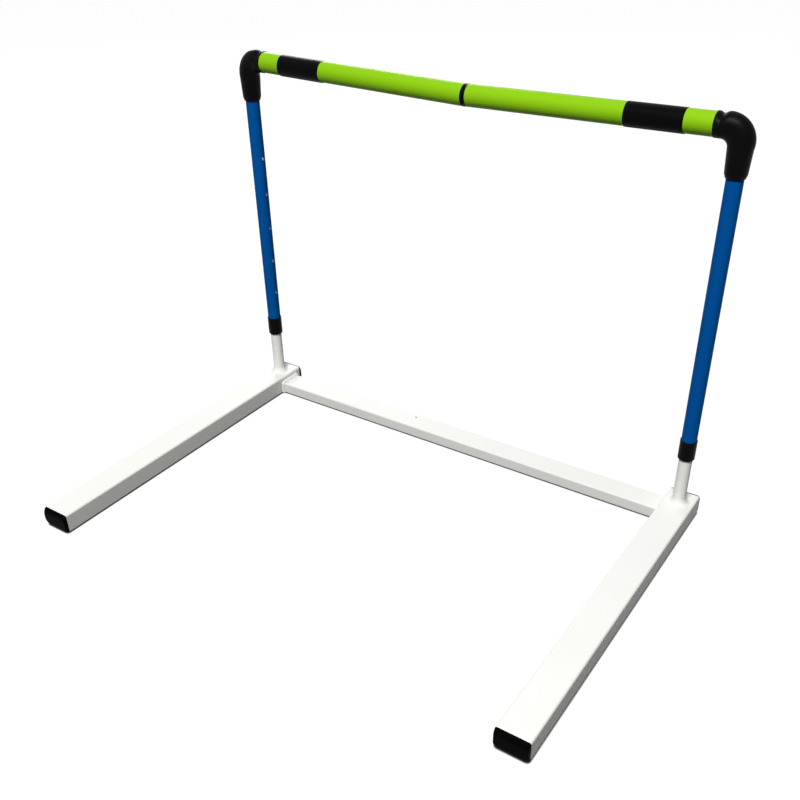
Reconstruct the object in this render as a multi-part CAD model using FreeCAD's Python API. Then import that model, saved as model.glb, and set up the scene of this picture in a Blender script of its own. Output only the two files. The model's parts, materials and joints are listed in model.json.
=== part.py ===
import FreeCAD, Part
import math
import os

from FreeCAD import Vector

# Speed hurdle: a flat welded base, two posts, two sliding uprights and a split bar
# whose halves swing away and spring back. Millimetres; +Z is up, +X runs from the left
# rail to the right rail, +Y from the rails' front ends to the cross rail at the back.
# The origin is on the floor, midway between the rails and midway along them.

# Layout
post_span = 1000.0
bar_axis_height = 748.0
rear_overhang = 12.0
split_offset = 10.0
split_gap = 1.5
bar_droop_degrees = 1.09

# Base rails and their end caps
rail_width = 60.0
rail_height = 40.0
rail_length = 708.0
rail_wall = 2.0
rail_inner_corner_radius = 2.0
cap_rim_depth = 0.6
cap_dome_depth = 7.0
cap_dome_inset = 11.0
cap_front_corner_radius = 8.5
cap_section_count = 5
cap_plug_length = 22.0
cap_plug_wall = 2.0
cap_rib_thickness = 1.6
cap_rib_count = 2

# Cross rail
cross_rail_width = 50.0
cross_rail_height = 25.0
cross_rail_wall = 1.5
cross_rail_inner_corner_radius = 1.5
cross_rail_weld_leg = 5.0
cross_rail_weld_toe_share = 0.15
vent_diameter = 5.0
vent_from_middle = 114.0
vent_from_rear_edge = 12.0

# Posts
post_diameter = 25.0
post_wall = 1.5
post_below_plug = 104.0
post_weld_spread = 11.0
post_weld_height = 13.0
post_weld_hollow_share = 0.35

# Uprights and their lower collars
upright_wall = 1.5
height_step = 76.2
height_step_count = 4
collar_above_rail = 101.5
collar_height = 41.0
collar_wall = 1.5
collar_lip = 3.0
collar_toe_share = 0.8
collar_rim_share = 0.5

# Snap buttons and their hairpin clips
button_below_post_top = 23.0
button_diameter = 7.0
button_travel = 4.2
button_dome_height = 1.6
button_flange_width = 1.5
button_flange_thickness = 1.5
clip_thickness = 1.0
clip_width = 8.0
clip_leg_length = 46.0
clip_above_button = 5.0

# Elbows
elbow_lip = 1.0
elbow_inner_bend_radius = 12.0
elbow_crown_share = 0.73
elbow_side_tuck = 2.0
elbow_section_count = 9
elbow_saddle_depth = 3.1
elbow_neck_length = 2.5
sleeve_drop = 78.0
sleeve_wall = 3.9
sleeve_chamfer_width = 2.4
sleeve_chamfer_height = 7.0
spigot_length = 40.0
spigot_chamfer = 2.0

# Pivots and return springs
upright_top_drop = 44.0
plug_length = 25.0
plug_flange_thickness = 3.0
plug_boss_wall = 1.7
plug_boss_height = 7.0
screw_diameter = 8.0
screw_head_lip = 3.0
screw_head_height = 5.0
screw_socket_sides = 6
screw_socket_width = 6.0
screw_socket_depth = 3.0
screw_thread_length = 15.0
spring_wire = 2.0
spring_turn_gap = 0.6
spring_turns = 5
spring_points_per_turn = 24

# Half bars
bar_diameter = 39.0
bar_wall = 2.0
bar_collar_length = 7.5
bar_collar_mouth = 3.0
bar_collar_flange = 3.5
bar_collar_saddle_depth = 1.8
band_start = 90.0
band_length = 100.0
band_thickness = 0.5
centre_cap_flange = 4.0
centre_cap_plug_length = 15.0
centre_cap_plug_wall = 2.0
centre_cap_edge_radius = 1.0

# Clearances and cutting
slide_clearance = 0.3
turn_clearance = 0.3
seat_clearance = 0.2
plug_clearance = 0.2
overrun = 1.0

# Angles in degrees
full_turn = 360.0
half_turn = 180.0
quarter_turn = 90.0

# Worked out from the sizes above
half_span = post_span / 2
rail_inner_face = half_span - rail_width / 2
rail_corner_radius = rail_inner_corner_radius + rail_wall
rail_front = -rail_length / 2
rail_rear = rail_length / 2
cross_rail_corner_radius = cross_rail_inner_corner_radius + cross_rail_wall
cross_rail_rear = rail_rear - rear_overhang
cross_rail_front = cross_rail_rear - cross_rail_width
post_y = (cross_rail_front + cross_rail_rear) / 2
post_radius = post_diameter / 2
post_bore_radius = post_radius - post_wall
button_radius = button_diameter / 2
button_flange_radius = button_radius + button_flange_width
upright_bore_radius = post_radius + slide_clearance
upright_radius = upright_bore_radius + upright_wall
upright_bottom = rail_height + collar_above_rail + collar_lip
upright_top = bar_axis_height - upright_top_drop
plug_bottom = upright_top - plug_length
post_top = plug_bottom - post_below_plug
button_height = post_top - button_below_post_top
bar_radius = bar_diameter / 2
bar_bore_radius = bar_radius - bar_wall
elbow_radius = bar_radius + elbow_lip
elbow_bend_degrees = quarter_turn + bar_droop_degrees
elbow_half_bend = math.radians(elbow_bend_degrees) / 2
elbow_bend_radius = elbow_inner_bend_radius + elbow_radius
elbow_reach = elbow_bend_radius * math.tan(elbow_half_bend)
elbow_bore_radius = upright_radius + turn_clearance
screw_radius = screw_diameter / 2
plug_bore_radius = screw_radius + turn_clearance
plug_boss_radius = plug_bore_radius + plug_boss_wall
flange_top = upright_top + plug_flange_thickness
spring_pitch = spring_wire + spring_turn_gap
spring_height = spring_turns * spring_pitch + spring_wire
spring_radius = (plug_boss_radius + elbow_bore_radius) / 2
chamber_top = flange_top + spring_height + 2 * seat_clearance
bar_collar_start = elbow_reach + elbow_neck_length
bar_start = bar_collar_start + bar_collar_flange
band_radius = bar_radius + band_thickness

origin = Vector(0, 0, 0)
along_x = Vector(1, 0, 0)
along_y = Vector(0, 1, 0)
along_z = Vector(0, 0, 1)


def save(node, shape):
    shape.exportStep("parts/" + node + ".step")


def turned(outline):
    """A solid turned about Z from (radius, height) pairs."""
    points = [Vector(radius, 0, height) for radius, height in outline]
    wire = Part.makePolygon(points + points[:1])
    return Part.Face(wire).revolve(origin, along_z, full_turn)


def tube(outer_radius, inner_radius, bottom, top):
    return turned([(inner_radius, bottom), (outer_radius, bottom), (outer_radius, top), (inner_radius, top)])


def rod(radius, bottom, top):
    return Part.makeCylinder(radius, top - bottom, Vector(0, 0, bottom))


def cross_rod(radius, start, end, height):
    """A round bar along X at a height, for holes and pins."""
    return Part.makeCylinder(radius, end - start, Vector(start, 0, height), along_x)


def rims(shape, radius, height):
    """The circular edges of a turned shape at one radius and height."""
    found = []
    for edge in shape.Edges:
        if not isinstance(edge.Curve, Part.Circle):
            continue
        centre = edge.Curve.Center
        if math.isclose(edge.Curve.Radius, radius) and math.isclose(centre.z, height):
            found.append(edge)
    return found


def rounded_outline(width, height, radius, distance):
    """A rounded rectangle facing along Y, centred on X and standing on the floor."""
    reach = width / 2 - radius
    rise = height - radius
    middles = [(reach, rise), (-reach, rise), (-reach, radius), (reach, radius)]
    corners = []
    for index, (across_x, up_z) in enumerate(middles):
        points = []
        for step in range(3):
            angle = math.radians(quarter_turn) * (index + step / 2)
            points.append(
                Vector(across_x + radius * math.cos(angle), distance, up_z + radius * math.sin(angle))
            )
        corners.append(points)
    edges = []
    for index, points in enumerate(corners):
        edges.append(Part.Arc(*points).toShape())
        edges.append(Part.makeLine(points[-1], corners[(index + 1) % len(corners)][0]))
    return Part.Wire(edges)


def rounded_block(width, length, height, radius):
    """A block along +Y with its long edges rounded."""
    return Part.Face(rounded_outline(width, height, radius, 0)).extrude(along_y * length)


def inner_block(width, length, height, wall, radius):
    """The space inside a rounded block that has a wall all round."""
    space = rounded_block(width - 2 * wall, length, height - 2 * wall, radius - wall)
    space.translate(Vector(0, 0, wall))
    return space


def rectangular_tube(width, length, height, wall, radius):
    bore = inner_block(width, length + 2 * overrun, height, wall, radius)
    bore.translate(Vector(0, -overrun, 0))
    return rounded_block(width, length, height, radius).cut(bore)


def on_side(shape, side):
    """Put a piece made about its own upright, arm towards +X, on the left or right side."""
    placed = shape.copy()
    if side > 0:
        placed.rotate(origin, along_z, half_turn)
    placed.translate(Vector(side * half_span, post_y, 0))
    return placed


def on_bar(shape):
    """Lay a piece turned about Z along the drooping bar, starting at the upright's axis."""
    placed = shape.copy()
    placed.rotate(origin, along_y, quarter_turn + bar_droop_degrees)
    placed.translate(Vector(0, 0, bar_axis_height))
    return placed


def base_rail(side):
    rail = rectangular_tube(rail_width, rail_length, rail_height, rail_wall, rail_corner_radius)
    rail.translate(Vector(side * half_span, rail_front, 0))
    return rail


def end_cap():
    """A plug with a domed face at -Y and a ribbed hollow tail that enters the rail."""
    outlines = [rounded_outline(rail_width, rail_height, rail_corner_radius, 0)]
    for index in range(cap_section_count):
        angle = math.radians(quarter_turn) * index / (cap_section_count - 1)
        inset = cap_dome_inset * (1 - math.cos(angle))
        radius = rail_corner_radius + (cap_front_corner_radius - rail_corner_radius) * math.sin(angle)
        distance = cap_rim_depth + cap_dome_depth * math.sin(angle)
        outline = rounded_outline(rail_width - 2 * inset, rail_height - 2 * inset, radius, -distance)
        outline.translate(Vector(0, 0, inset))
        outlines.append(outline)
    face = Part.makeLoft(outlines, True)
    tail_wall = rail_wall + plug_clearance
    tail = inner_block(rail_width, cap_plug_length, rail_height, tail_wall, rail_corner_radius)
    hollow_wall = tail_wall + cap_plug_wall
    hollow = Part.makeBox(
        rail_width - 2 * hollow_wall,
        cap_plug_length,
        rail_height - 2 * hollow_wall,
        Vector(hollow_wall - rail_width / 2, cap_plug_wall, hollow_wall),
    )
    tail = tail.cut(hollow)
    rib_step = (rail_width - 2 * hollow_wall) / (cap_rib_count + 1)
    for index in range(cap_rib_count):
        rib_middle = hollow_wall - rail_width / 2 + rib_step * (index + 1)
        rib = Part.makeBox(
            cap_rib_thickness,
            cap_plug_length - cap_plug_wall,
            rail_height - 2 * hollow_wall,
            Vector(rib_middle - cap_rib_thickness / 2, cap_plug_wall, hollow_wall),
        )
        tail = tail.fuse(rib)
    return face.fuse(tail).removeSplitter()


def front_cap(side):
    cap = end_cap()
    cap.translate(Vector(side * half_span, rail_front, 0))
    return cap


def rear_cap(side):
    cap = end_cap()
    cap.rotate(origin, along_z, half_turn)
    cap.translate(Vector(side * half_span, rail_rear, 0))
    return cap


def across(shape):
    """Turn a block made along Y to run along +X at the cross rail."""
    placed = shape.copy()
    placed.rotate(origin, along_z, -quarter_turn)
    placed.translate(Vector(0, post_y, 0))
    return placed


def cross_rail():
    length = 2 * rail_inner_face
    rail = across(
        rectangular_tube(
            cross_rail_width, length, cross_rail_height, cross_rail_wall, cross_rail_corner_radius
        )
    )
    rail.translate(Vector(-length / 2, 0, 0))
    vent = rod(vent_diameter / 2, cross_rail_height - cross_rail_wall - overrun, cross_rail_height + overrun)
    vent.translate(Vector(-vent_from_middle, cross_rail_rear - vent_from_rear_edge, 0))
    return rail.cut(vent)


def cross_rail_weld(side):
    """A sloping bead over the top and both sides of the cross rail's end."""
    outlines = []
    for leg, distance in (
        (cross_rail_weld_leg, 0),
        (cross_rail_weld_leg * cross_rail_weld_toe_share, cross_rail_weld_leg),
    ):
        outlines.append(
            rounded_outline(
                cross_rail_width + 2 * leg, cross_rail_height + leg, cross_rail_corner_radius, distance
            )
        )
    rail_end = rounded_block(
        cross_rail_width, cross_rail_weld_leg, cross_rail_height, cross_rail_corner_radius
    )
    bead = across(Part.makeLoft(outlines, True, True).cut(rail_end))
    bead.translate(Vector(-rail_inner_face, 0, 0))
    if side > 0:
        bead.rotate(Vector(0, post_y, 0), along_z, half_turn)
    return bead


def post():
    shaft = tube(post_radius, post_bore_radius, rail_height, post_top)
    hole = cross_rod(button_radius + slide_clearance, 0, post_radius + overrun, button_height)
    return shaft.cut(hole)


def post_weld():
    """A hollow-faced bead that flares from the post onto the rail."""
    foot = Vector(post_radius, 0, rail_height)
    toe = foot + Vector(post_weld_spread, 0, 0)
    top = foot + Vector(0, 0, post_weld_height)
    middle = foot + (toe + top - foot * 2) * post_weld_hollow_share
    edges = [
        Part.makeLine(foot, toe),
        Part.Arc(toe, middle, top).toShape(),
        Part.makeLine(top, foot),
    ]
    return Part.Face(Part.Wire(edges)).revolve(origin, along_z, full_turn)


def upright():
    shaft = tube(upright_radius, upright_bore_radius, upright_bottom, upright_top)
    for index in range(height_step_count + 1):
        height = button_height - index * height_step
        shaft = shaft.cut(
            cross_rod(button_radius + slide_clearance, 0, upright_radius + overrun, height)
        )
    return shaft


def lower_collar():
    bottom = upright_bottom - collar_lip
    top = bottom + collar_height
    radius = upright_radius + collar_wall
    collar = turned(
        [
            (upright_bore_radius, bottom),
            (radius, bottom),
            (radius, top),
            (upright_radius, top),
            (upright_radius, upright_bottom),
            (upright_bore_radius, upright_bottom),
        ]
    )
    toe_radius = (radius - upright_bore_radius) * collar_toe_share
    collar = collar.makeFillet(toe_radius, rims(collar, radius, bottom))
    return collar.makeFillet(collar_wall * collar_rim_share, rims(collar, radius, top))


def button_stop():
    """How far from the post's axis the button's flange can come before it meets the bore."""
    return math.sqrt(post_bore_radius**2 - button_flange_radius**2) - slide_clearance


def snap_button():
    """Pressed in: its domed tip is level with the post and its flange stands off the bore."""
    flange_face = button_stop() - button_travel
    shoulder = post_radius - button_dome_height
    dome_radius = (button_radius**2 + button_dome_height**2) / (2 * button_dome_height)
    flange = cross_rod(
        button_flange_radius, flange_face - button_flange_thickness, flange_face, button_height
    )
    stem = cross_rod(button_radius, flange_face, shoulder, button_height)
    ball = Part.makeSphere(dome_radius, Vector(post_radius - dome_radius, 0, button_height))
    dome = ball.common(cross_rod(button_radius, shoulder, post_radius, button_height))
    return flange.fuse([stem, dome]).removeSplitter()


def hairpin_side(left, right, bend, top):
    """One side of a hairpin outline, from a leg's top round the bend to the other leg's top."""
    radius = (right - left) / 2
    low_left = Vector(left, 0, bend)
    low_right = Vector(right, 0, bend)
    lowest = Vector(left + radius, 0, bend - radius)
    return [
        Part.makeLine(Vector(left, 0, top), low_left),
        Part.Arc(low_left, lowest, low_right).toShape(),
        Part.makeLine(low_right, Vector(right, 0, top)),
    ]


def button_clip():
    """A hairpin strip: one leg behind the button, the other against the far side of the bore."""
    front = button_stop() - button_travel - button_flange_thickness
    rear = seat_clearance - math.sqrt(post_bore_radius**2 - (clip_width / 2) ** 2)
    top = button_height + clip_above_button
    bend = top - clip_leg_length
    inner_front = front - clip_thickness
    inner_rear = rear + clip_thickness
    edges = hairpin_side(rear, front, bend, top) + hairpin_side(inner_rear, inner_front, bend, top)
    for left, right in ((rear, inner_rear), (inner_front, front)):
        edges.append(Part.makeLine(Vector(left, 0, top), Vector(right, 0, top)))
    strip = Part.Face(Part.Wire(Part.__sortEdges__(edges))).extrude(along_y * clip_width)
    strip.translate(along_y * (-clip_width / 2))
    return strip


def oval(centre, first, second):
    """An ellipse spanned by two half axes at right angles, which starts at the end of the first."""
    start = 0
    if first.Length < second.Length:
        first, second = second, -first
        start = -math.radians(quarter_turn)
    ellipse = Part.Ellipse(origin, first.Length, second.Length)
    edge = ellipse.toShape(start, start + math.radians(full_turn))
    edge.Placement = FreeCAD.Placement(centre, FreeCAD.Rotation(first, second, first.cross(second)))
    return Part.Wire([edge])


def crown_distance(angle):
    """From the bend's inner pivot out to the elbow's back, at an angle off the middle of the bend."""
    span = elbow_bend_radius + elbow_radius
    crown_radius = elbow_radius + elbow_crown_share * elbow_bend_radius
    half_chord = span * math.sin(elbow_half_bend)
    offset = span * math.cos(elbow_half_bend) - math.sqrt(crown_radius**2 - half_chord**2)
    return offset * math.cos(angle) + math.sqrt(crown_radius**2 - (offset * math.sin(angle)) ** 2)


def elbow_section(share):
    """An oval across the bend, part of the way from the sleeve to the bar."""
    angle = 2 * elbow_half_bend * share
    outer = crown_distance(angle - elbow_half_bend)
    ray = Vector(-math.cos(angle), 0, math.sin(angle))
    pivot = Vector(elbow_bend_radius, 0, bar_axis_height - elbow_reach)
    half_depth = (outer - elbow_inner_bend_radius) / 2
    half_width = elbow_radius - elbow_side_tuck * math.sin(math.radians(half_turn) * share)
    centre = pivot + ray * (elbow_inner_bend_radius + half_depth)
    return oval(centre, ray * half_depth, along_y * half_width)


def neck_section(distance, saddle_depth):
    """An oval across the bar's axis whose top, at -X until it is laid on the bar, is sunk."""
    half_depth = Vector(saddle_depth / 2 - elbow_radius, 0, 0)
    return oval(Vector(saddle_depth / 2, 0, distance), half_depth, along_y * elbow_radius)


def elbow():
    """A moulded bend with a tapered sleeve for the upright and a spigot for the bar."""
    sections = []
    for index in range(elbow_section_count - 1):
        sections.append(elbow_section(index / (elbow_section_count - 1)))
    saddle = on_bar(neck_section(elbow_reach, elbow_saddle_depth))
    bend = Part.makeLoft(sections + [saddle], True)
    neck_end = on_bar(neck_section(bar_collar_start, bar_collar_saddle_depth))
    neck = Part.makeLoft([saddle, neck_end], True, True)
    sleeve_top = bar_axis_height - elbow_reach
    sleeve_bottom = bar_axis_height - sleeve_drop
    sleeve_end_radius = elbow_bore_radius + sleeve_wall
    sleeve = turned(
        [
            (0, sleeve_bottom),
            (sleeve_end_radius - sleeve_chamfer_width, sleeve_bottom),
            (sleeve_end_radius, sleeve_bottom + sleeve_chamfer_height),
            (elbow_radius, sleeve_top),
            (0, sleeve_top),
        ]
    )
    spigot_end = bar_collar_start + spigot_length
    spigot = turned(
        [
            (0, bar_collar_start),
            (bar_bore_radius, bar_collar_start),
            (bar_bore_radius, spigot_end - spigot_chamfer),
            (bar_bore_radius - spigot_chamfer, spigot_end),
            (0, spigot_end),
        ]
    )
    body = bend.fuse([sleeve, neck, on_bar(spigot)])
    bore = rod(elbow_bore_radius, sleeve_bottom - overrun, chamber_top)
    screw_hole = rod(screw_radius, chamber_top - overrun, chamber_top + screw_thread_length)
    return body.cut([bore, screw_hole])


def pivot_plug():
    """Fills the upright's top end; its boss keeps the spring round the screw."""
    boss_top = flange_top + plug_boss_height
    return turned(
        [
            (plug_bore_radius, plug_bottom),
            (upright_bore_radius, plug_bottom),
            (upright_bore_radius, upright_top),
            (upright_radius, upright_top),
            (upright_radius, flange_top),
            (plug_boss_radius, flange_top),
            (plug_boss_radius, boss_top),
            (plug_bore_radius, boss_top),
        ]
    )


def pivot_screw():
    """A shoulder screw with a hexagon socket, driven up into the elbow from below."""
    head_top = plug_bottom - seat_clearance
    head_bottom = head_top - screw_head_height
    head_radius = screw_radius + screw_head_lip
    screw = turned(
        [
            (0, head_bottom),
            (head_radius, head_bottom),
            (head_radius, head_top),
            (screw_radius, head_top),
            (screw_radius, chamber_top + screw_thread_length),
            (0, chamber_top + screw_thread_length),
        ]
    )
    corner_radius = screw_socket_width / (2 * math.cos(math.radians(half_turn) / screw_socket_sides))
    corners = []
    for index in range(screw_socket_sides + 1):
        angle = math.radians(full_turn) * index / screw_socket_sides
        corners.append(
            Vector(corner_radius * math.cos(angle), corner_radius * math.sin(angle), head_bottom)
        )
    socket = Part.Face(Part.makePolygon(corners)).extrude(Vector(0, 0, screw_socket_depth))
    return screw.cut(socket)


def coil_point(turn):
    angle = math.radians(full_turn) * turn
    height = flange_top + seat_clearance + spring_wire / 2 + spring_pitch * turn
    return Vector(spring_radius * math.cos(angle), spring_radius * math.sin(angle), height)


def coil_direction(turn):
    angle = math.radians(full_turn) * turn
    rise = spring_pitch / math.radians(full_turn)
    return Vector(-spring_radius * math.sin(angle), spring_radius * math.cos(angle), rise).normalize()


def tangent_arc(start, corner, end):
    """The arc from start to end that touches both legs of the corner, which are equally long."""
    weight = (end - start).Length / (2 * (corner - start).Length)
    middle = (start + corner * (2 * weight) + end) * (1 / (2 + 2 * weight))
    return Part.Arc(start, middle, end).toShape()


def coil_span(first, last):
    """Two tangent arcs that follow the coil between two turns."""
    start, end = coil_point(first), coil_point(last)
    leave, arrive = coil_direction(first), coil_direction(last)
    chord = end - start
    lean = chord.dot(leave + arrive)
    spread = 1 - leave.dot(arrive)
    leg = (math.sqrt(lean**2 + 2 * spread * chord.dot(chord)) - lean) / (2 * spread)
    first_corner = start + leave * leg
    second_corner = end - arrive * leg
    joint = (first_corner + second_corner) * 0.5
    return [tangent_arc(start, first_corner, joint), tangent_arc(joint, second_corner, end)]


def return_spring():
    quarters = spring_turns * 4
    edges = []
    for index in range(quarters):
        edges += coil_span(index / 4, (index + 1) / 4)
    section = Part.Wire([Part.Circle(coil_point(0), coil_direction(0), spring_wire / 2).toShape()])
    return Part.Wire(edges).makePipeShell([section], True, False)


def coil_gap():
    """The least gap between points of the coil that are over half a turn apart."""
    count = spring_turns * spring_points_per_turn
    points = [coil_point(index / spring_points_per_turn) for index in range(count + 1)]
    nearest = spring_height
    for index, point in enumerate(points):
        for other in points[index + spring_points_per_turn // 2 :]:
            nearest = min(nearest, (other - point).Length)
    return nearest - spring_wire


def bar_collar():
    """A ring that rises from the elbow's saddle to the round mouth where the bar enters."""
    end = bar_collar_start + bar_collar_length
    sections = [
        neck_section(bar_collar_start, bar_collar_saddle_depth),
        neck_section(end - bar_collar_mouth, 0),
        neck_section(end, 0),
    ]
    ring = Part.makeLoft(sections, True, True)
    bore = rod(bar_bore_radius, bar_collar_start - overrun, end)
    return ring.cut([bore, rod(bar_radius, bar_start, end + overrun)])


def bar_end(side):
    """Along the bar, from the upright's axis to the free end of one half."""
    return half_span - side * split_offset - split_gap / 2


def bar_tube(side):
    return tube(bar_radius, bar_bore_radius, bar_start, bar_end(side) - centre_cap_flange)


def bar_band():
    return tube(band_radius, bar_radius, band_start, band_start + band_length)


def centre_cap(side):
    end = bar_end(side)
    seat = end - centre_cap_flange
    tail = seat - centre_cap_plug_length
    hollow_radius = bar_bore_radius - centre_cap_plug_wall
    cap = turned(
        [
            (0, seat),
            (hollow_radius, seat),
            (hollow_radius, tail),
            (bar_bore_radius, tail),
            (bar_bore_radius, seat),
            (bar_radius, seat),
            (bar_radius, end),
            (0, end),
        ]
    )
    return cap.makeFillet(centre_cap_edge_radius, rims(cap, bar_radius, end))


os.makedirs("parts", exist_ok=True)

side_pieces = {
    "post": post(),
    "post_weld": post_weld(),
    "snap_button": snap_button(),
    "button_clip": button_clip(),
    "upright": upright(),
    "lower_collar": lower_collar(),
    "pivot_plug": pivot_plug(),
    "pivot_screw": pivot_screw(),
    "return_spring": return_spring(),
    "elbow": elbow(),
    "bar_collar": on_bar(bar_collar()),
    "bar_band": on_bar(bar_band()),
}

save("cross_rail", cross_rail())
for name, side in (("left", -1), ("right", 1)):
    save(name + "_base_rail", base_rail(side))
    save(name + "_front_cap", front_cap(side))
    save(name + "_rear_cap", rear_cap(side))
    save(name + "_cross_rail_weld", cross_rail_weld(side))
    for piece, shape in side_pieces.items():
        save(name + "_" + piece, on_side(shape, side))
    save(name + "_bar_tube", on_side(on_bar(bar_tube(side)), side))
    save(name + "_centre_cap", on_side(on_bar(centre_cap(side)), side))

print("least gap between spring turns: %.2f mm" % coil_gap())
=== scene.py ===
import json
import math

import bmesh
import bpy
from mathutils import Matrix, Vector


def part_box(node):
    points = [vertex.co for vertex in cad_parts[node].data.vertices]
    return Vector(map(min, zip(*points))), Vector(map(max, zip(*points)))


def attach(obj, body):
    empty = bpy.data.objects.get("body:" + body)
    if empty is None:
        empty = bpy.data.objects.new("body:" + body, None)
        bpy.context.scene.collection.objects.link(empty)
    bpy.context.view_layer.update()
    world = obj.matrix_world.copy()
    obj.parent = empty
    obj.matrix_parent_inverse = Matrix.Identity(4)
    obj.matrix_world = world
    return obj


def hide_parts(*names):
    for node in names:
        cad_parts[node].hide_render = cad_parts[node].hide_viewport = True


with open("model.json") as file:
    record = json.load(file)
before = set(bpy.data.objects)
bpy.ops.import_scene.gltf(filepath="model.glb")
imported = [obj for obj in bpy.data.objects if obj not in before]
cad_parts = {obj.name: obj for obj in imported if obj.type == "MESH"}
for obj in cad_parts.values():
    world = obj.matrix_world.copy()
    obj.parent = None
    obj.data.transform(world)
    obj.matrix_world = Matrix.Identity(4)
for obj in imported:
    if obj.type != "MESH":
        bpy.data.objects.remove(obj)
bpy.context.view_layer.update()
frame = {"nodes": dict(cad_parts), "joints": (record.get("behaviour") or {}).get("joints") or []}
scene = bpy.context.scene
scene.view_settings.view_transform = "Standard"
mm = 0.001  # pieces are modelled in millimetres and end in metres
print("frame loaded:", len(frame["nodes"]), "nodes")


# Reading the frame

def lowOf(node):
    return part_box(node)[0] / mm


def highOf(node):
    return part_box(node)[1] / mm


def sizeOf(node):
    return highOf(node) - lowOf(node)


def middleOf(node):
    return (lowOf(node) + highOf(node)) / 2


def swingPoint(side):  # where the bar's axis crosses the upright's axis
    for joint in frame["joints"]:
        if joint["name"] == side + "_swing":
            return Vector(joint["pos_m"]) / mm


def barDroop(side):
    pivot = swingPoint(side)
    band = middleOf(side + "_bar_band")
    return math.atan2(pivot.z - band.z, abs(band.x - pivot.x))


sides = ("left", "right")
facing = {"left": 0.0, "right": math.pi}  # pieces are made for the left and turned round for the right
uprightPlace = {}
barPlace = {}  # Z runs along the bar, from the upright's axis to the free end
for side in sides:
    pivot = swingPoint(side)
    halfTurn = Matrix.Rotation(facing[side], 4, "Z")
    uprightPlace[side] = Matrix.Translation((pivot.x, pivot.y, 0)) @ halfTurn
    layDown = Matrix.Rotation(math.pi / 2 + barDroop(side), 4, "Y")
    barPlace[side] = Matrix.Translation(pivot) @ halfTurn @ layDown


def alongBar(side, node, startRadius, endRadius):  # a bar piece's ends, measured along the bar
    pivot = swingPoint(side)
    droop = barDroop(side)
    reach = [abs(corner.x - pivot.x) for corner in (lowOf(node), highOf(node))]
    start = (min(reach) + startRadius * math.sin(droop)) / math.cos(droop)
    end = (max(reach) - endRadius * math.sin(droop)) / math.cos(droop)
    return start, end


# Materials

def linear(hexColour):  # sRGB hex to the linear colour that a socket takes
    channels = [int(hexColour[i:i + 2], 16) / 255 for i in (1, 3, 5)]
    return [c / 12.92 if c <= 0.04045 else ((c + 0.055) / 1.055) ** 2.4 for c in channels] + [1]


def addNode(tree, kind, settings, links=None):
    node = tree.nodes.new(kind)
    for name, value in settings.items():
        if name in node.inputs:
            node.inputs[name].default_value = value
        else:
            setattr(node, name, value)
    for name, output in (links or {}).items():
        tree.links.new(output, node.inputs[name])
    return node


noiseDetail = {"drift": 3, "grain": 2}  # layers of finer noise in each pattern


def grainScale(size):  # how many cells of a pattern, each of a size in mm, go into a metre
    return 1 / (size * mm)


def rampColours(ramp, low, high):
    ramp.color_ramp.elements[0].color = linear(low)
    ramp.color_ramp.elements[1].color = linear(high)


def newFinish(name, look):  # a surface with drifting tone, uneven gloss and fine relief
    material = bpy.data.materials.new(name)
    material.use_nodes = True
    tree = material.node_tree
    shader = tree.nodes["Principled BSDF"]
    for socket, value in look["shader"].items():
        shader.inputs[socket].default_value = value
    coords = addNode(tree, "ShaderNodeTexCoord", {})
    stretch = addNode(tree, "ShaderNodeMapping", {"Scale": look.get("stretch", (1, 1, 1))},
                      {"Vector": coords.outputs["Object"]})
    drift = addNode(tree, "ShaderNodeTexNoise",
                    {"Scale": grainScale(look["driftSize"]), "Detail": noiseDetail["drift"]},
                    {"Vector": stretch.outputs["Vector"]})
    tone = addNode(tree, "ShaderNodeValToRGB", {}, {"Fac": drift.outputs["Fac"]})
    rampColours(tone, *look["tones"])
    grain = addNode(tree, "ShaderNodeTexNoise",
                    {"Scale": grainScale(look["grainSize"]), "Detail": noiseDetail["grain"]},
                    {"Vector": stretch.outputs["Vector"]})
    dull, gloss = look["roughness"]
    shine = addNode(tree, "ShaderNodeMapRange", {"To Min": gloss, "To Max": dull},
                    {"Value": grain.outputs["Fac"]})
    relief = addNode(tree, "ShaderNodeBump", {"Strength": look["relief"], "Distance": look["depth"] * mm},
                     {"Height": grain.outputs["Fac"]})
    tree.links.new(tone.outputs["Color"], shader.inputs["Base Color"])
    tree.links.new(shine.outputs["Result"], shader.inputs["Roughness"])
    tree.links.new(relief.outputs["Normal"], shader.inputs["Normal"])
    return material


# Baked polyester powder coat: a clean white skin with a faint orange peel, near matt
whiteCoat = newFinish("whitePowderCoat", {
    "tones": ("#ebebe6", "#f1f1ed"),
    "driftSize": 140,
    "grainSize": 2.2,  # orange peel cells are about 1 mm, drawn coarser so that they show
    "roughness": (0.42, 0.3),
    "relief": 0.12,
    "depth": 0.15,
    "shader": {"IOR": 1.5, "Specular IOR Level": 0.04},
})

# The same kind of coat in signal blue: the tube shades evenly from its lit middle to its edges
blueCoat = newFinish("bluePowderCoat", {
    "tones": ("#014f98", "#0357a5"),
    "driftSize": 90,
    "grainSize": 2.2,  # drawn coarser, as on the white
    "roughness": (0.55, 0.42),
    "relief": 0.12,
    "depth": 0.12,
    "shader": {"IOR": 1.5, "Specular IOR Level": 0.02},
})

# Extruded ABS tube: a bright lime with a soft sheen and faint lines along its length
limeTube = newFinish("limeExtrudedTube", {
    "tones": ("#83bc12", "#8dc617"),
    "driftSize": 60,
    "grainSize": 3.0,  # die lines are finer, drawn coarser so that they show
    "stretch": (0.03, 1, 1),
    "roughness": (0.46, 0.34),
    "relief": 0.08,
    "depth": 0.1,
    "shader": {"IOR": 1.52, "Specular IOR Level": 0.06},
})

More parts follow.
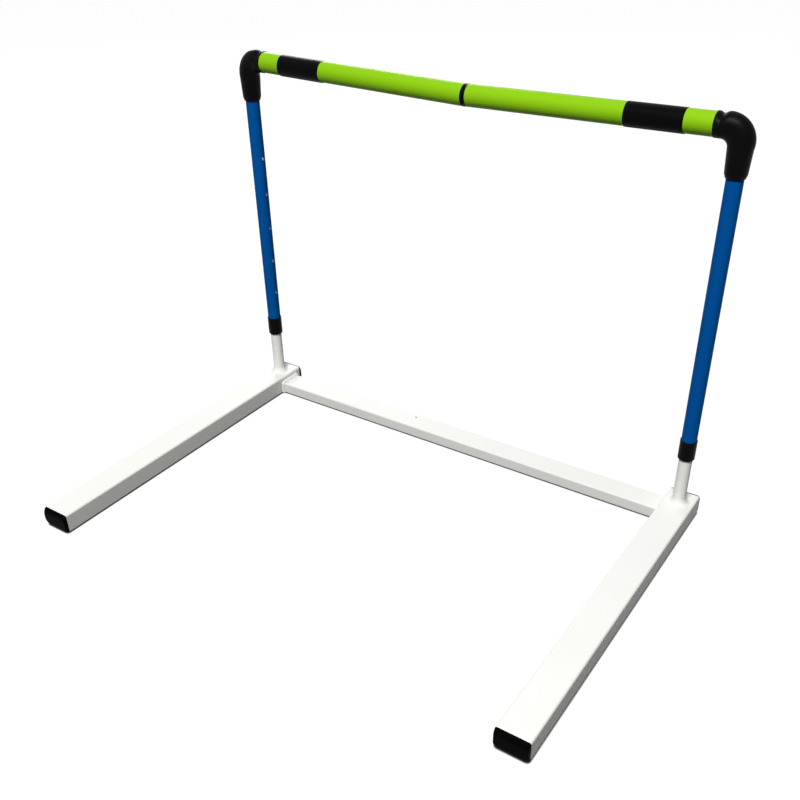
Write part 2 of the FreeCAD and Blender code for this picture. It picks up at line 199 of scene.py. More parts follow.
# Calendered vinyl wrap: a dense black with a soft satin sheen
vinylWrap = newFinish("blackVinylWrap", {
    "tones": ("#040405", "#070708"),
    "driftSize": 40,
    "grainSize": 1.4,  # an embossed grain, drawn coarser so that it shows
    "roughness": (0.4, 0.3),
    "relief": 0.12,
    "depth": 0.1,
    "shader": {"IOR": 1.5, "Specular IOR Level": 0.03},
})

# Moulded nylon: black, with the fine pitting that a spark-eroded mould leaves
mouldedNylon = newFinish("blackMouldedNylon", {
    "tones": ("#030303", "#060607"),
    "driftSize": 30,
    "grainSize": 1.0,  # the pitting is finer, drawn coarser so that it shows
    "roughness": (0.44, 0.34),
    "relief": 0.1,
    "depth": 0.1,
    "shader": {"IOR": 1.53, "Specular IOR Level": 0.04},
})

# Moulded polyethylene: softer and waxier than nylon, so its black is more even
mouldedCap = newFinish("blackPolyethylene", {
    "tones": ("#030303", "#060606"),
    "driftSize": 25,
    "grainSize": 1.2,  # drawn coarser, as on the nylon
    "roughness": (0.55, 0.42),
    "relief": 0.2,
    "depth": 0.1,
    "shader": {"IOR": 1.5, "Specular IOR Level": 0.01},
})

# Zinc plated steel: a cool bright metal with a slightly cloudy passivated skin
zincPlate = newFinish("zincPlatedSteel", {
    "tones": ("#b9bdc0", "#d0d3d5"),
    "driftSize": 6,
    "grainSize": 0.8,
    "roughness": (0.38, 0.24),
    "relief": 0.1,
    "depth": 0.05,
    "shader": {"Metallic": 1.0},
})

# Drawn spring wire: darker than zinc, oiled, with lines along the wire
springWire = newFinish("drawnSpringSteel", {
    "tones": ("#6f7274", "#85888a"),
    "driftSize": 5,
    "grainSize": 0.6,
    "roughness": (0.42, 0.3),
    "relief": 0.1,
    "depth": 0.05,
    "shader": {"Metallic": 1.0},
})
print("materials made:", len(bpy.data.materials))


# Modelling tools

nearby = 0.2  # how far, in mm, a point may lie from the radius or level that it is looked for on
mergeGap = 0.001  # points closer than this, in mm, become one
cornerAngle = 60  # degrees: an edge that turns by more is a corner to be rounded


def ringEdges(verts):
    return list(dict.fromkeys(edge for vert in verts for edge in vert.link_edges))


def skin(bm, rings, closed=False):  # faces from each ring to the next
    pairs = list(zip(rings, rings[1:]))
    if closed:
        pairs.append((rings[-1], rings[0]))
    for first, second in pairs:
        bmesh.ops.bridge_loops(bm, edges=first + second)


def roundedRing(bm, width, height, radius, cornerSteps, level):  # a circle with its quarters moved apart
    halfStep = math.pi / (4 * cornerSteps)
    place = Matrix.Translation((0, 0, level)) @ Matrix.Rotation(halfStep, 4, "Z")
    made = bmesh.ops.create_circle(
        bm, segments=4 * cornerSteps, radius=radius / math.cos(halfStep), matrix=place)
    for vert in made["verts"]:
        vert.co.x += math.copysign(width / 2 - radius, vert.co.x)
        vert.co.y += math.copysign(height / 2 - radius, vert.co.y)
    return ringEdges(made["verts"])


def ovalRing(bm, centre, first, second, steps):  # an ellipse spanned by two half axes
    place = Matrix((first, second, first.cross(second))).transposed().to_4x4()
    place.translation = centre
    made = bmesh.ops.create_circle(bm, segments=steps, radius=1, matrix=place)
    return ringEdges(made["verts"])


def turn(bm, outline, steps):  # a closed outline of (radius, height) turned about Z
    verts = [bm.verts.new((radius, 0, height)) for radius, height in outline]
    edges = [bm.edges.new(pair) for pair in zip(verts, verts[1:] + verts[:1])]
    bmesh.ops.spin(bm, geom=verts + edges, cent=(0, 0, 0), axis=(0, 0, 1), angle=2 * math.pi,
                   steps=steps, use_merge=True)


def tidy(bm):
    bmesh.ops.remove_doubles(bm, verts=bm.verts, dist=mergeGap)
    bmesh.ops.recalc_face_normals(bm, faces=bm.faces)


def soften(bm, width, segments, chosen=lambda middle: True, turned=cornerAngle):  # round the corners
    limit = math.radians(turned)
    edges = []
    for edge in bm.edges:
        middle = (edge.verts[0].co + edge.verts[1].co) / 2
        if edge.is_manifold and edge.calc_face_angle() > limit and chosen(middle):
            edges.append(edge)
    bmesh.ops.bevel(bm, geom=edges, offset=width, offset_type="OFFSET", segments=segments, profile=0.5,
                    affect="EDGES", material=-1, clamp_overlap=True)


def punch(bm, walls, radius, steps, inPatch):  # a round hole through both walls of a tube, towards +X
    rims = []
    height = walls["height"]
    for wallRadius in (walls["outer"], walls["inner"]):
        faces = [face for face in bm.faces if inPatch(face.calc_center_median(), wallRadius, height)]
        border = [edge for edge in bm.edges if sum(face in faces for face in edge.link_faces) == 1]
        bmesh.ops.delete(bm, geom=faces, context="FACES")
        place = Matrix.Translation((0, 0, height)) @ Matrix.Rotation(math.pi / 2, 4, "Y")
        made = bmesh.ops.create_circle(bm, segments=steps, radius=radius, matrix=place)
        for vert in made["verts"]:
            vert.co.x = math.sqrt(wallRadius ** 2 - vert.co.y ** 2)
        rim = ringEdges(made["verts"])
        bmesh.ops.bridge_loops(bm, edges=border + rim)
        rims.append(rim)
    bmesh.ops.bridge_loops(bm, edges=rims[0] + rims[1])


def addPiece(name, bm, place, body, node, finish, sharpAngle=40):
    bmesh.ops.transform(bm, matrix=Matrix.Scale(mm, 4) @ place, verts=bm.verts)
    mesh = bpy.data.meshes.new(name)
    bm.to_mesh(mesh)
    bm.free()
    mesh.shade_smooth()
    mesh.set_sharp_from_angle(angle=math.radians(sharpAngle))
    mesh.materials.append(finish)
    piece = bpy.data.objects.new(name, mesh)
    scene.collection.objects.link(piece)
    evenShading = piece.modifiers.new("evenShading", "WEIGHTED_NORMAL")
    evenShading.keep_sharp = True
    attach(piece, body)
    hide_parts(node)
    return piece


# Base rails: rectangular tube with rounded corners, sawn square

railLook = {"corner": 4.0, "wall": 2.0, "cornerSteps": 8, "sawnEdge": 0.3, "edgeSteps": 2}


def squareTube(width, height, length, look):
    bm = bmesh.new()
    inner = look["corner"] - look["wall"]
    rings = []
    for level in (0, length):
        rings.append(roundedRing(bm, width, height, look["corner"], look["cornerSteps"], level))
    for level in (length, 0):
        rings.append(roundedRing(bm, width - 2 * look["wall"], height - 2 * look["wall"], inner,
                                 look["cornerSteps"], level))
    skin(bm, rings, closed=True)
    tidy(bm)
    soften(bm, look["sawnEdge"], look["edgeSteps"])
    return bm


alongY = Matrix(((1, 0, 0, 0), (0, 0, 1, 0), (0, -1, 0, 0), (0, 0, 0, 1)))  # Z to +Y, Y to -Z
for side in sides:
    node = side + "_base_rail"
    size = sizeOf(node)
    middle = middleOf(node)
    bm = squareTube(size.x, size.z, size.y, railLook)
    place = Matrix.Translation((middle.x, lowOf(node).y, middle.z)) @ alongY
    addPiece(side + "Rail", bm, place, "base", node, whiteCoat)
print("base rails made")


# End caps: a face over the sawn end, domed most above and below, and a hollow tail inside the tube

capLook = {"domeDepth": 7.0, "domeInset": 11.0, "sideInset": 1.5, "frontCorner": 8.5, "domeSteps": 13,
           "cornerSteps": 8, "tailGap": 0.2, "tailWall": 2.0, "tailCorner": 0.5, "seatEdge": 0.4,
           "edgeSteps": 2}


def endCap(width, height, length, visible):
    bm = bmesh.new()
    corner = railLook["corner"]
    steps = capLook["cornerSteps"]
    rings = []
    tail = railLook["wall"] + capLook["tailGap"]
    hollow = tail + capLook["tailWall"]
    floor = visible + capLook["tailWall"]
    for inset, level in ((hollow, floor), (hollow, length), (tail, length), (tail, visible)):
        radius = max(corner - inset, capLook["tailCorner"])
        rings.append(roundedRing(bm, width - 2 * inset, height - 2 * inset, radius, steps, level))
    rings.append(roundedRing(bm, width, height, corner, steps, visible))
    for index in range(capLook["domeSteps"]):
        angle = math.pi / 2 * index / (capLook["domeSteps"] - 1)
        curl = 1 - math.cos(angle)
        across = width - 2 * capLook["sideInset"] * curl
        tall = height - 2 * capLook["domeInset"] * curl
        radius = corner + (capLook["frontCorner"] - corner) * math.sin(angle)
        level = capLook["domeDepth"] * (1 - math.sin(angle))
        rings.append(roundedRing(bm, across, tall, radius, steps, level))
    skin(bm, rings)
    bmesh.ops.edgeloop_fill(bm, edges=rings[0])
    bmesh.ops.edgeloop_fill(bm, edges=rings[-1])
    tidy(bm)
    soften(bm, capLook["seatEdge"], capLook["edgeSteps"], lambda middle: middle.z > visible - nearby)
    return bm


for side in sides:
    for end in ("front", "rear"):
        node = side + "_" + end + "_cap"
        rail = side + "_base_rail"
        size = sizeOf(node)
        middle = middleOf(node)
        if end == "front":
            visible = lowOf(rail).y - lowOf(node).y
            place = Matrix.Translation((middle.x, lowOf(node).y, middle.z)) @ alongY
        else:
            visible = highOf(node).y - highOf(rail).y
            place = (Matrix.Translation((middle.x, highOf(node).y, middle.z))
                     @ Matrix.Rotation(math.pi, 4, "Z") @ alongY)
        bm = endCap(size.x, size.z, size.y, visible)
        addPiece(side + end.capitalize() + "Cap", bm, place, "base", node, mouldedCap)
print("end caps made")


# Cross rail, with the small vent that lets gas out while its ends are welded

crossLook = {"corner": 3.0, "wall": 1.5, "cornerSteps": 6, "sawnEdge": 0.2, "edgeSteps": 2,
             "ventRadius": 2.5, "ventPatch": 6.0, "ventX": -114.0, "ventFromRear": 12.0, "ventSteps": 24}


def crossRail():
    node = "cross_rail"
    size = sizeOf(node)
    bm = squareTube(size.y, size.z, size.x, crossLook)
    ventAlong = crossLook["ventX"] - lowOf(node).x
    ventAcross = size.y / 2 - crossLook["ventFromRear"]
    patch = crossLook["ventPatch"]
    for normal, position in (((0, 0, 1), ventAlong), ((1, 0, 0), ventAcross)):
        for shift in (-patch, patch):
            bmesh.ops.bisect_plane(bm, geom=bm.verts[:] + bm.edges[:] + bm.faces[:],
                                   plane_co=Vector(normal) * (position + shift), plane_no=normal)
    rims = []
    for level in (size.z / 2, size.z / 2 - crossLook["wall"]):
        vent = Vector((ventAcross, level, ventAlong))
        faces = [face for face in bm.faces if (face.calc_center_median() - vent).length < nearby]
        square = list(dict.fromkeys(edge for face in faces for edge in face.edges))
        bmesh.ops.delete(bm, geom=faces, context="FACES")
        bmesh.ops.subdivide_edges(bm, edges=square, cuts=crossLook["ventSteps"] // len(square) - 1)
        border = [edge for edge in bm.edges if edge.is_boundary
                  and all(abs(vert.co.y - level) < nearby for vert in edge.verts)]
        place = Matrix.Translation(vent) @ Matrix.Rotation(math.pi / 2, 4, "X")
        made = bmesh.ops.create_circle(
            bm, segments=crossLook["ventSteps"], radius=crossLook["ventRadius"], matrix=place)
        rim = ringEdges(made["verts"])
        bmesh.ops.bridge_loops(bm, edges=border + rim)
        rims.append(rim)
    bmesh.ops.bridge_loops(bm, edges=rims[0] + rims[1])
    tidy(bm)
    return bm


acrossX = Matrix(((0, 0, 1, 0), (1, 0, 0, 0), (0, 1, 0, 0), (0, 0, 0, 1)))  # Z to +X, X to +Y, Y to +Z
middle = middleOf("cross_rail")
place = Matrix.Translation((lowOf("cross_rail").x, middle.y, middle.z)) @ acrossX
addPiece("crossRail", crossRail(), place, "base", "cross_rail", whiteCoat)
print("cross rail made")


# Weld beads: a rippled rope round the cross rail's end, painted over with the frame

beadLook = {"radius": 3.6, "sunk": 1.1, "pitch": 4.2, "ripple": 0.5, "rippleFullness": 0.8, "samples": 6,
            "steps": 14, "sharpAngle": 70}


def railBead():
    cross = sizeOf("cross_rail")
    sunk = beadLook["sunk"]
    bend = crossLook["corner"] + sunk
    upright = cross.z - crossLook["corner"]
    flat = cross.y - 2 * crossLook["corner"]
    arc = bend * math.pi / 2
    total = 2 * upright + 2 * arc + flat
    count = round(total / beadLook["pitch"]) * beadLook["samples"]
    outline = []
    for index in range(count + 1):
        share = (index / beadLook["samples"]) % 1
        swell = beadLook["ripple"] * math.sin(math.pi * share) ** beadLook["rippleFullness"]
        outline.append((beadLook["radius"] - beadLook["ripple"] + swell, total * index / count))
    bm = bmesh.new()
    turn(bm, outline + [(0, total), (0, 0)], beadLook["steps"])
    tidy(bm)

    def onPath(distance):  # across the rail, up, and how far the path has turned, from the front foot
        reach = cross.y / 2 + sunk
        if distance < upright:
            return -reach, distance, 0
        distance -= upright
        if distance < arc:
            angle = distance / bend
            return -reach + bend * (1 - math.cos(angle)), upright + bend * math.sin(angle), angle
        distance -= arc
        if distance < flat:
            return -flat / 2 + distance, cross.z + sunk, math.pi / 2
        distance -= flat
        if distance < arc:
            angle = distance / bend
            return flat / 2 + bend * math.sin(angle), upright + bend * math.cos(angle), math.pi / 2 + angle
        return reach, upright - (distance - arc), math.pi

    for vert in bm.verts:
        across, up, turned = onPath(vert.co.z)
        outward = vert.co.y
        vert.co = Vector((vert.co.x + sunk, across - outward * math.cos(turned),
                          up + outward * math.sin(turned)))
    bmesh.ops.recalc_face_normals(bm, faces=bm.faces)
    return bm


for side in sides:
    inner = highOf("left_base_rail").x if side == "left" else lowOf("right_base_rail").x
    place = (Matrix.Translation((inner, middleOf("cross_rail").y, 0))
             @ Matrix.Rotation(facing[side], 4, "Z"))
    addPiece(side + "RailWeld", railBead(), place, "base", side + "_cross_rail_weld",
             whiteCoat, beadLook["sharpAngle"])
print("rail welds made")


# Posts and uprights: round tube, with the hole that the snap button works in and the row that it springs
# out into

tubeLook = {"wall": 1.5, "steps": 48, "sawnEdge": 0.3, "edgeSteps": 2, "endReach": 1.0}
holeLook = {"radius": 3.8, "steps": 24, "columns": 3, "patch": 5.4, "rows": 6, "deburr": 0.35,
            "stepHeight": 76.2, "count": 5}


def inHolePatch(centre, wallRadius, height):
    halfAngle = 2 * math.pi / tubeLook["steps"] * holeLook["columns"]
    onWall = abs(math.hypot(centre.x, centre.y) - wallRadius) < nearby
    return (onWall and abs(math.atan2(centre.y, centre.x)) < halfAngle
            and abs(centre.z - height) < holeLook["patch"])


def roundTube(radius, bottom, top, holeHeights):
    inner = radius - tubeLook["wall"]
    rows = [bottom, top]
    for height in holeHeights:
        for row in range(holeLook["rows"] + 1):
            rows.append(height + holeLook["patch"] * (2 * row / holeLook["rows"] - 1))
    rows.sort()
    bm = bmesh.new()
    outline = [(radius, row) for row in rows] + [(inner, row) for row in reversed(rows)]
    turn(bm, outline, tubeLook["steps"])
    tidy(bm)
    for height in holeHeights:
        walls = {"outer": radius, "inner": inner, "height": height}
        punch(bm, walls, holeLook["radius"], holeLook["steps"], inHolePatch)
    tidy(bm)

    def atEnd(middle):
        return min(middle.z - bottom, top - middle.z) < tubeLook["endReach"]

    soften(bm, tubeLook["sawnEdge"], tubeLook["edgeSteps"], atEnd)
    soften(bm, holeLook["deburr"], tubeLook["edgeSteps"], lambda middle: not atEnd(middle))
    return bm


for side in sides:
    button = middleOf(side + "_snap_button").z
    node = side + "_post"
    bm = roundTube(sizeOf(node).x / 2, lowOf(node).z, highOf(node).z, [button])
    addPiece(side + "Post", bm, uprightPlace[side], "base", node, whiteCoat)
    node = side + "_upright"
    heights = [button - holeLook["stepHeight"] * index for index in range(holeLook["count"])]
    bm = roundTube(sizeOf(node).x / 2, lowOf(node).z, highOf(node).z, heights)
    addPiece(side + "Upright", bm, uprightPlace[side], side + "_upright", node, blueCoat)
print("posts and uprights made")


# Post welds: a hollow flare with the ripples of the torch going round

footLook = {"arcSteps": 8, "ripples": 26, "rippleHeight": 0.45, "smoothShare": 0.02, "steps": 156,
            "sharpAngle": 70}


def postBead(side):
    node = side + "_post_weld"
    size = sizeOf(node)
    bottom = lowOf(node).z
    post = sizeOf(side + "_post").x / 2
    spread = size.x / 2 - post
    outline = [(post, bottom + size.z), (post, bottom)]
    for index in range(footLook["arcSteps"]):
        angle = math.pi / 2 * index / footLook["arcSteps"]
        outline.append((post + spread * (1 - math.sin(angle)), bottom + size.z * (1 - math.cos(angle))))
    bm = bmesh.new()
    turn(bm, outline, footLook["steps"])
    tidy(bm)
    for vert in bm.verts:
        angle = math.atan2(vert.co.y, vert.co.x)
        reach = (math.hypot(vert.co.x, vert.co.y) - post) / spread
        height = (vert.co.z - bottom) / size.z
        lift = footLook["rippleHeight"] * abs(math.sin(angle * footLook["ripples"] / 2))
        if min(reach, height) > footLook["smoothShare"]:
            vert.co.x += lift * math.cos(angle) * height
            vert.co.y += lift * math.sin(angle) * height
            vert.co.z += lift * reach
    bmesh.ops.recalc_face_normals(bm, faces=bm.faces)
    return bm


for side in sides:
    addPiece(side + "PostWeld", postBead(side), uprightPlace[side], "base", side + "_post_weld",
             whiteCoat, footLook["sharpAngle"])
print("post welds made")


# Lower collars: a moulded sleeve with a lip under the upright's end

collarLook = {"steps": 72, "lip": 3.0, "toe": 2.1, "toeSteps": 5, "rim": 0.7, "rimSteps": 3}


def lowerCollar(side):
    node = side + "_lower_collar"
    bottom = lowOf(node).z
    top = highOf(node).z
    radius = sizeOf(node).x / 2
    tube = sizeOf(side + "_upright").x / 2
    bore = tube - tubeLook["wall"]
    seat = bottom + collarLook["lip"]
    bm = bmesh.new()
    turn(bm, [(bore, bottom), (radius, bottom), (radius, top), (tube, top), (tube, seat), (bore, seat)],
         collarLook["steps"])
    tidy(bm)
    soften(bm, collarLook["toe"], collarLook["toeSteps"],
           lambda middle: middle.z < bottom + nearby and middle.xy.length > radius - nearby)
    soften(bm, collarLook["rim"], collarLook["rimSteps"],
           lambda middle: middle.z > top - nearby and middle.xy.length > radius - nearby)
    return bm


for side in sides:
    addPiece(side + "LowerCollar", lowerCollar(side), uprightPlace[side], side + "_upright",
             side + "_lower_collar", mouldedNylon)
print("lower collars made")


# Elbows: a moulded bend whose back swells into a round crown, with a tapered sleeve below. The top dips
# into a saddle where the bar's ring begins, and rises again to the ring's round mouth.

elbowLook = {"innerBend": 12.0, "crownShare": 0.73, "sideTuck": 2.0, "sections": 32, "steps": 72,
             "saddle": 3.1, "saddleShare": 0.125, "neck": 2.5, "neckSteps": 3, "sleeveWall": 3.9,
             "chamferWidth": 2.4, "chamferHeight": 7.0, "turnGap": 0.3, "springGap": 0.2, "screwHead": 3.0,
             "spigot": 40.0, "spigotChamfer": 2.0, "edge": 0.5, "edgeSteps": 3, "edgeAngle": 15,
             "sharpAngle": 50}
barLook = {"wall": 2.0, "steps": 96, "edge": 0.5, "edgeSteps": 3}
ringLook = {"mouth": 3.0, "flange": 3.5, "flareSteps": 6, "edge": 0.4, "edgeSteps": 3}


def ease(share):  # 0 to 1 with level ends
    share = min(max(share, 0), 1)
    return share * share * (3 - 2 * share)


def ringEnds(side):
    lip = sizeOf(side + "_bar_collar").y / 2
    return alongBar(side, side + "_bar_collar", lip, lip)


def saddleDip(side, distance):  # how far the top is sunk, from the saddle's lowest point to the mouth
    start, end = ringEnds(side)
    lowest = start - elbowLook["neck"]
    return elbowLook["saddle"] * (1 - ease((distance - lowest) / (end - ringLook["mouth"] - lowest)))


def elbowBend(side):  # the moulding's radius, the bend's radius, half its angle, and how far it reaches
    tube = sizeOf(side + "_elbow").y / 2
    radius = elbowLook["innerBend"] + tube
    halfAngle = (math.pi / 2 + barDroop(side)) / 2
    return {"tube": tube, "radius": radius, "halfAngle": halfAngle, "reach": radius * math.tan(halfAngle)}


def elbowSleeve(bm, side, bend):  # from the screw's blind hole down the bore, and up the outside
    bottom = lowOf(side + "_elbow").z
    top = swingPoint(side).z - bend["reach"]
    bore = sizeOf(side + "_upright").x / 2 + elbowLook["turnGap"]
    outer = bore + elbowLook["sleeveWall"]
    screw = sizeOf(side + "_pivot_screw").x / 2 - elbowLook["screwHead"]  # its head stands out round it
    chamberTop = highOf(side + "_return_spring").z + elbowLook["springGap"]
    chamferTop = bottom + elbowLook["chamferHeight"]
    levels = ((screw, highOf(side + "_pivot_screw").z), (screw, chamberTop), (bore, chamberTop),
              (bore, bottom), (outer - elbowLook["chamferWidth"], bottom), (outer, chamferTop),
              ((outer + bend["tube"]) / 2, (chamferTop + top) / 2))
    return [ovalRing(bm, Vector((0, 0, height)), Vector((-radius, 0, 0)), Vector((0, radius, 0)),
                     elbowLook["steps"]) for radius, height in levels]


def elbowCrown(bm, side, bend):  # round the bend, its back swelling out, and down into the saddle
    halfAngle = bend["halfAngle"]
    span = bend["radius"] + bend["tube"]
    crown = bend["tube"] + elbowLook["crownShare"] * bend["radius"]
    offset = span * math.cos(halfAngle) - math.sqrt(crown ** 2 - (span * math.sin(halfAngle)) ** 2)
    pivot = Vector((bend["radius"], 0, swingPoint(side).z - bend["reach"]))
    rings = []
    for index in range(elbowLook["sections"] + 1):
        share = index / elbowLook["sections"]
        angle = 2 * halfAngle * share
        ray = Vector((-math.cos(angle), 0, math.sin(angle)))
        lean = angle - halfAngle
        back = offset * math.cos(lean) + math.sqrt(crown ** 2 - (offset * math.sin(lean)) ** 2)
        back -= elbowLook["saddle"] * ease((share - 1) / elbowLook["saddleShare"] + 1)
        halfDepth = (back - elbowLook["innerBend"]) / 2
        halfWidth = bend["tube"] - elbowLook["sideTuck"] * math.sin(math.pi * share)
        centre = pivot + ray * (elbowLook["innerBend"] + halfDepth)
        rings.append(ovalRing(bm, centre, ray * halfDepth, Vector((0, halfWidth, 0)), elbowLook["steps"]))
    return rings


def elbowArm(bm, side, bend):  # the neck before the bar's ring, and the spigot that enters the bar
    droop = barDroop(side)
    along = Vector((math.cos(droop), 0, -math.sin(droop)))
    up = Vector((math.sin(droop), 0, math.cos(droop)))
    pivot = Vector((0, 0, swingPoint(side).z))
    rings = []

    def section(radius, distance, sunk):
        rings.append(ovalRing(bm, pivot + along * distance - up * sunk, up * (radius - sunk),
                              Vector((0, radius, 0)), elbowLook["steps"]))

    for index in range(1, elbowLook["neckSteps"] + 1):
        distance = bend["reach"] + elbowLook["neck"] * index / elbowLook["neckSteps"]
        section(bend["tube"], distance, saddleDip(side, distance) / 2)
    bore = sizeOf(side + "_bar_tube").y / 2 - barLook["wall"]
    neckEnd = bend["reach"] + elbowLook["neck"]
    spigotEnd = neckEnd + elbowLook["spigot"]
    chamfer = elbowLook["spigotChamfer"]
    for radius, distance in ((bore, neckEnd), (bore, spigotEnd - chamfer), (bore - chamfer, spigotEnd)):
        section(radius, distance, 0)
    return rings


def elbow(side):
    bend = elbowBend(side)
    bm = bmesh.new()
    rings = elbowSleeve(bm, side, bend) + elbowCrown(bm, side, bend) + elbowArm(bm, side, bend)
    skin(bm, rings)
    bmesh.ops.edgeloop_fill(bm, edges=rings[0])
    bmesh.ops.edgeloop_fill(bm, edges=rings[-1])
    tidy(bm)
    chamferTop = lowOf(side + "_elbow").z + elbowLook["chamferHeight"]
    soften(bm, elbowLook["edge"], elbowLook["edgeSteps"], lambda middle: middle.z < chamferTop + nearby,
           elbowLook["edgeAngle"])
    return bm


for side in sides:
    addPiece(side + "Elbow", elbow(side), uprightPlace[side], side + "_arm", side + "_elbow",
             mouldedNylon, elbowLook["sharpAngle"])
print("elbows made")


# Half bars: tube, the ring that its end enters, the wrapped band and the cap at the free end

bandLook = {"overlapAngle": 0.6, "rampAngle": 0.05, "edge": 0.2, "edgeSteps": 2}
centreLook = {"flange": 4.0, "plugWall": 2.0, "edge": 1.0, "edgeSteps": 4}


def barRing(side, bar, bore):
    start, end = ringEnds(side)
    lip = sizeOf(side + "_bar_collar").y / 2
    seat = start + ringLook["flange"]
    flareEnd = end - ringLook["mouth"]
    bm = bmesh.new()
    rings = []

    def level(ringRadius, distance, sunk):  # the bar's top is at -X here
        rings.append(ovalRing(bm, Vector((sunk / 2, 0, distance)), Vector((sunk / 2 - ringRadius, 0, 0)),
                              Vector((0, ringRadius, 0)), barLook["steps"]))

    for index in range(ringLook["flareSteps"] + 1):
        distance = start + (flareEnd - start) * index / ringLook["flareSteps"]
        level(lip, distance, saddleDip(side, distance))
    for ringRadius, distance in ((lip, end), (bar, end), (bar, seat), (bore, seat), (bore, start)):
        level(ringRadius, distance, 0)
    skin(bm, rings, closed=True)
    tidy(bm)
    soften(bm, ringLook["edge"], ringLook["edgeSteps"],
           lambda middle: middle.z > end - nearby and middle.xy.length > lip - nearby)
    return bm


def barTube(side, bar, bore):
    start, end = alongBar(side, side + "_bar_tube", bar, bar)
    bm = bmesh.new()
    turn(bm, [(bore, start), (bar, start), (bar, end), (bore, end)], barLook["steps"])
    tidy(bm)
    soften(bm, barLook["edge"], barLook["edgeSteps"])
    return bm


def wrappedBand(side, bar):
    outer = sizeOf(side + "_bar_band").y / 2
    start, end = alongBar(side, side + "_bar_band", outer, outer)
    bm = bmesh.new()
    turn(bm, [(bar, start), (outer, start), (outer, end), (bar, end)], barLook["steps"])
    tidy(bm)
    soften(bm, bandLook["edge"], bandLook["edgeSteps"])
    for vert in bm.verts:  # the wrap's end lies on its start, under the bar
        angle = abs(math.atan2(vert.co.y, vert.co.x))
        rise = min(max((bandLook["overlapAngle"] - angle) / bandLook["rampAngle"], 0), 1)
        reach = vert.co.xy.length
        lift = rise * (reach - bar)
        vert.co.x *= (reach + lift) / reach
        vert.co.y *= (reach + lift) / reach
    return bm


def centreCap(side, bar, bore):
    start, end = alongBar(side, side + "_centre_cap", bore, bar)
    seat = end - centreLook["flange"]
    hollow = bore - centreLook["plugWall"]
    bm = bmesh.new()
    turn(bm, [(0, seat), (hollow, seat), (hollow, start), (bore, start), (bore, seat), (bar, seat),
              (bar, end), (0, end)], barLook["steps"])
    tidy(bm)
    soften(bm, centreLook["edge"], centreLook["edgeSteps"],
           lambda middle: middle.z > end - nearby and middle.xy.length > bar - nearby)
    return bm


for side in sides:
    bar = sizeOf(side + "_bar_tube").y / 2
    bore = bar - barLook["wall"]
    arm = side + "_arm"
    addPiece(side + "BarRing", barRing(side, bar, bore), barPlace[side], arm, side + "_bar_collar",
             mouldedNylon)
    addPiece(side + "BarTube", barTube(side, bar, bore), barPlace[side], arm, side + "_bar_tube",
             limeTube)
    addPiece(side + "Band", wrappedBand(side, bar), barPlace[side], arm, side + "_bar_band",
             vinylWrap)
    addPiece(side + "CentreCap", centreCap(side, bar, bore), barPlace[side], arm, side + "_centre_cap",
             mouldedNylon)
print("half bars made")


# Inner workings keep the frame's own shapes

innerFinish = {"snap_button": zincPlate, "button_clip": springWire, "pivot_plug": mouldedNylon,
               "pivot_screw": zincPlate, "return_spring": springWire}
for side in sides:
    for part, finish in innerFinish.items():
        mesh = frame["nodes"][side + "_" + part].data
        mesh.materials.clear()
        mesh.materials.append(finish)
print("inner workings finished")


# Floor and light: a white sweep that keeps a faint shadow and a painted contact shade, a dark line under
# what stands on it where ambient occlusion dims its glow, lit by a high softbox in front, to the right,
# and a low one behind, to the left

# the three settings that reach, deepen and sample the ambient occlusion shape the painted contact shade on
# the floor
stageLook = {"floorSize": 14.0, "floorDrop": 0.0002, "bounceTone": "#484848", "shadowTone": "#4d4d4d",
             "floorGlow": 0.97, "worldTone": "#ffffff", "worldStrength": 0.08, "paintedShadeReach": 0.0035,
             "paintedShadeDepth": 0.52, "paintedShadeSamples": 16}  # lengths in metres


def seenDirectly(tree):  # 1 for what the camera sees, straight, in a reflection or through glass
    path = addNode(tree, "ShaderNodeLightPath", {})
    seen = path.outputs["Is Camera Ray"]
    for ray in ("Is Glossy Ray", "Is Transmission Ray"):
        either = addNode(tree, "ShaderNodeMath", {"operation": "MAXIMUM"})
        tree.links.new(seen, either.inputs[0])
        tree.links.new(path.outputs[ray], either.inputs[1])
        seen = either.outputs[0]
    return seen


def studioFloor():
    bm = bmesh.new()
    bmesh.ops.create_grid(bm, x_segments=1, y_segments=1, size=stageLook["floorSize"] / 2)
    mesh = bpy.data.meshes.new("studioFloor")
    bm.to_mesh(mesh)
    bm.free()
    floor = bpy.data.objects.new("studioFloor", mesh)
    floor.location.z = -stageLook["floorDrop"]
    scene.collection.objects.link(floor)
    paper = bpy.data.materials.new("whitePaperSweep")
    paper.use_nodes = True
    tree = paper.node_tree
    tree.nodes.clear()
    bounce = addNode(tree, "ShaderNodeBsdfDiffuse", {"Color": linear(stageLook["bounceTone"])})
    shadow = addNode(tree, "ShaderNodeBsdfDiffuse", {"Color": linear(stageLook["shadowTone"])})
    # painted contact shade: ambient occlusion dims the floor's glow where parts stand on it or close by,
    # drawing a dark line there
    openSky = addNode(tree, "ShaderNodeAmbientOcclusion",
                      {"Distance": stageLook["paintedShadeReach"], "samples": stageLook["paintedShadeSamples"]})
    glowWithPaintedShade = addNode(tree, "ShaderNodeMapRange",
                   {"From Min": 1 - stageLook["paintedShadeDepth"], "To Max": stageLook["floorGlow"]},
                   {"Value": openSky.outputs["AO"]})
    glow = addNode(tree, "ShaderNodeEmission", {}, {"Strength": glowWithPaintedShade.outputs["Result"]})
    lit = addNode(tree, "ShaderNodeAddShader", {})
    tree.links.new(shadow.outputs[0], lit.inputs[0])
    tree.links.new(glow.outputs[0], lit.inputs[1])
    choice = addNode(tree, "ShaderNodeMixShader", {}, {"Fac": seenDirectly(tree)})
    tree.links.new(bounce.outputs[0], choice.inputs[1])
    tree.links.new(lit.outputs[0], choice.inputs[2])
    addNode(tree, "ShaderNodeOutputMaterial", {}, {"Surface": choice.outputs[0]})
    mesh.materials.append(paper)


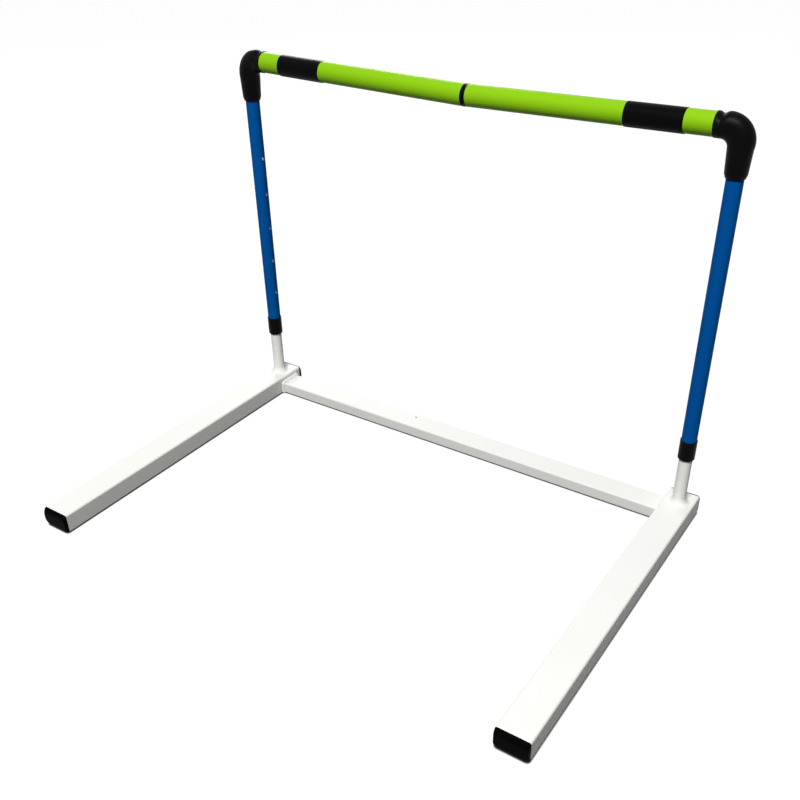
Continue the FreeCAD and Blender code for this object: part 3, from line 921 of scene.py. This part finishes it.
def studioWorld():
    world = bpy.data.worlds.new("studioWorld")
    scene.world = world
    world.use_nodes = True
    tree = world.node_tree
    tree.nodes.clear()
    dim = addNode(tree, "ShaderNodeBackground", {"Color": linear(stageLook["worldTone"]),
                                                 "Strength": stageLook["worldStrength"]})
    white = addNode(tree, "ShaderNodeBackground", {"Color": linear(stageLook["worldTone"])})
    choice = addNode(tree, "ShaderNodeMixShader", {}, {"Fac": seenDirectly(tree)})
    tree.links.new(dim.outputs[0], choice.inputs[1])
    tree.links.new(white.outputs[0], choice.inputs[2])
    addNode(tree, "ShaderNodeOutputWorld", {}, {"Surface": choice.outputs[0]})


lampLooks = {  # sizes and places in metres, power in watts
    "frontSoftbox": {"size": (1.6, 1.6), "power": 408, "place": (0.95, -3.2, 5.2), "aim": (0, 0.1, 0.2)},
    "rearSoftbox": {"size": (2.0, 1.6), "power": 95, "place": (-3.0, 3.6, 2.0), "aim": (0, 0.1, 0.4)},
}


def softbox(name, look):
    lamp = bpy.data.lights.new(name, "AREA")
    lamp.shape = "RECTANGLE"
    lamp.size, lamp.size_y = look["size"]
    lamp.energy = look["power"]
    holder = bpy.data.objects.new(name, lamp)
    holder.location = look["place"]
    toAim = Vector(look["aim"]) - Vector(look["place"])
    holder.rotation_euler = toAim.to_track_quat("-Z", "Y").to_euler()
    scene.collection.objects.link(holder)


studioFloor()
studioWorld()
for name, look in lampLooks.items():
    softbox(name, look)
print("floor and lights made")


# Camera: found by fitting the object's own edges to the photograph, in degrees and millimetres

cameraLook = {"azimuth": 33.76, "elevation": 33.455, "roll": -0.826, "place": (894.8, -1195.5, 1139.6),
              "focalPixels": 950.19, "imagePixels": 800, "sensor": 36.0, "shift": (-0.0159, 0.0649)}


def photoCamera():
    look = cameraLook
    azimuth = math.radians(look["azimuth"])
    elevation = math.radians(look["elevation"])
    back = Vector((math.sin(azimuth) * math.cos(elevation), -math.cos(azimuth) * math.cos(elevation),
                   math.sin(elevation)))
    level = back.to_track_quat("Z", "Y").to_matrix()
    turned = level @ Matrix.Rotation(math.radians(look["roll"]), 3, "Z")
    lens = bpy.data.cameras.new("photoCamera")
    lens.sensor_width = look["sensor"]
    lens.lens = look["focalPixels"] / look["imagePixels"] * look["sensor"]
    lens.shift_x, lens.shift_y = look["shift"]
    camera = bpy.data.objects.new("photoCamera", lens)
    camera.matrix_world = Matrix.Translation(Vector(look["place"]) * mm) @ turned.to_4x4()
    scene.collection.objects.link(camera)
    scene.camera = camera


photoCamera()
print("camera placed")
